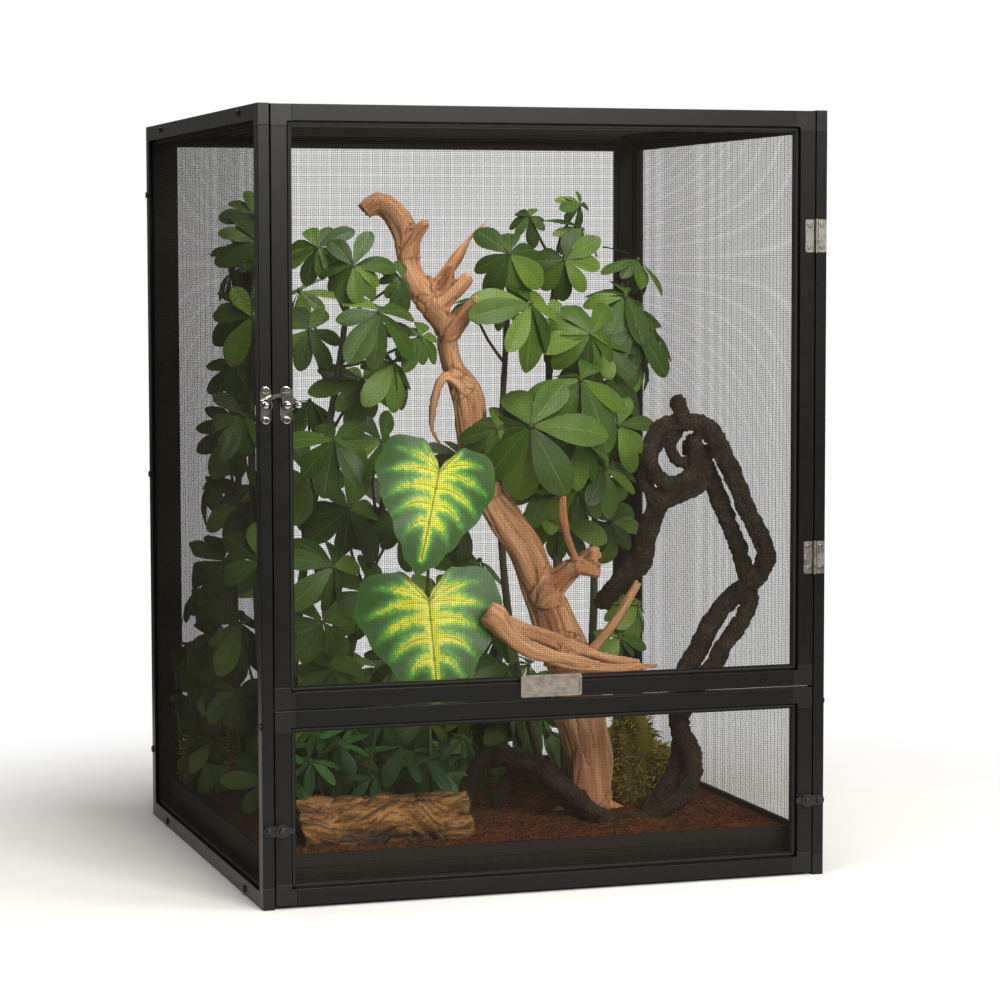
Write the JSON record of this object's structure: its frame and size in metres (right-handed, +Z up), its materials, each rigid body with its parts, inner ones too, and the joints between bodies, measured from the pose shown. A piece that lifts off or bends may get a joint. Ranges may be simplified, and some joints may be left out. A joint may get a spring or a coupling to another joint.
{
  "type": "reptile terrarium",
  "caption": "Tall screen terrarium with a hinged front door over a tilting lower front flap, a planting tray, climbing branches and artificial plants.",
  "frame": {"origin": "On the floor, under the middle of the overall outline, latch included.", "axes": "+X to the right seen from the front, +Y from the front to the back, +Z up."},
  "size_m": [0.4564, 0.4339, 0.6],
  "materials": {
    "frame": "satin black",
    "connector": "moulded black",
    "spline": "matt",
    "screen": "black woven mesh",
    "board": "matt black",
    "black_screw": "dark plated",
    "hinge_steel": "dulled",
    "nickel": "polished nickel",
    "clip": "black",
    "plate": "brushed",
    "tray": "black",
    "soil": "crumbly fibre",
    "driftwood": "weathered",
    "vine": "coated with bark crumbs",
    "bark": "rough",
    "leaf": "soft sheen",
    "leaf_light": "soft sheen",
    "leaf_heart": "soft sheen",
    "moss": "fibrous"
  },
  "bodies": {
    "enclosure": {"back_corners": "connector", "back_rails": "frame", "back_screen": "screen", "back_spline": "spline", "bark_cave": "bark", "bottom_board": "board", "bottom_corners": "connector", "bottom_rails": "frame", "bottom_spline": "spline", "driftwood": "driftwood", "flap_pivot_screws": "black_screw", "ground_plant": "leaf_light", "heart_leaves": "leaf_heart", "hinge_frame_leaves": "hinge_steel", "hinge_frame_screws": "hinge_steel", "hinge_pins": "hinge_steel", "left_bush": "leaf", "left_corners": "connector", "left_rails": "frame", "left_screen": "screen", "left_spline": "spline", "moss": "moss", "right_bush": "leaf", "right_corners": "connector", "right_rails": "frame", "right_screen": "screen", "right_spline": "spline", "side_screws_left": "black_screw", "side_screws_right": "black_screw", "strike_plate": "nickel", "strike_screws": "nickel", "strike_stud": "nickel", "substrate": "soil", "top_corners": "connector", "top_rails": "frame", "top_screen": "screen", "top_spline": "spline", "tray": "tray", "vine": "vine"},
    "door": {"door_corners": "connector", "door_rails": "frame", "door_screen": "screen", "door_spline": "spline", "hinge_door_leaves": "hinge_steel", "hinge_door_screws": "hinge_steel", "latch_pivot": "nickel", "latch_plate": "nickel", "latch_screws": "nickel", "name_plate": "plate"},
    "latch": {"latch_arm": "nickel"},
    "flap": {"clip_screws": "black_screw", "flap_corners": "connector", "flap_rails": "frame", "flap_screen": "screen", "flap_spline": "spline"},
    "clip_left": {"clip_left": "clip"},
    "clip_right": {"clip_right": "clip"}
  },
  "joints": [
    {"name": "door_swing", "type": "hinge", "parent": "enclosure", "child": "door", "pos_m": [0.2171, -0.2119, 0.3775], "axis": [0, 0, 1], "range_deg": [0, 150]},
    {"name": "latch_swing", "type": "hinge", "parent": "door", "child": "latch", "pos_m": [-0.2062, -0.21365, 0.378], "axis": [0, 1, 0], "range_deg": [0, 60]},
    {"name": "flap_tilt", "type": "hinge", "parent": "enclosure", "child": "flap", "pos_m": [0, -0.20565, 0.138], "axis": [-1, 0, 0], "range_deg": [0, 90]},
    {"name": "clip_left_turn", "type": "hinge", "parent": "flap", "child": "clip_left", "pos_m": [-0.212, -0.21215, 0.06], "axis": [0, 1, 0], "range_deg": [0, 90]},
    {"name": "clip_right_turn", "type": "hinge", "parent": "flap", "child": "clip_right", "pos_m": [0.212, -0.21215, 0.06], "axis": [0, -1, 0], "range_deg": [0, 90]}
  ]
}
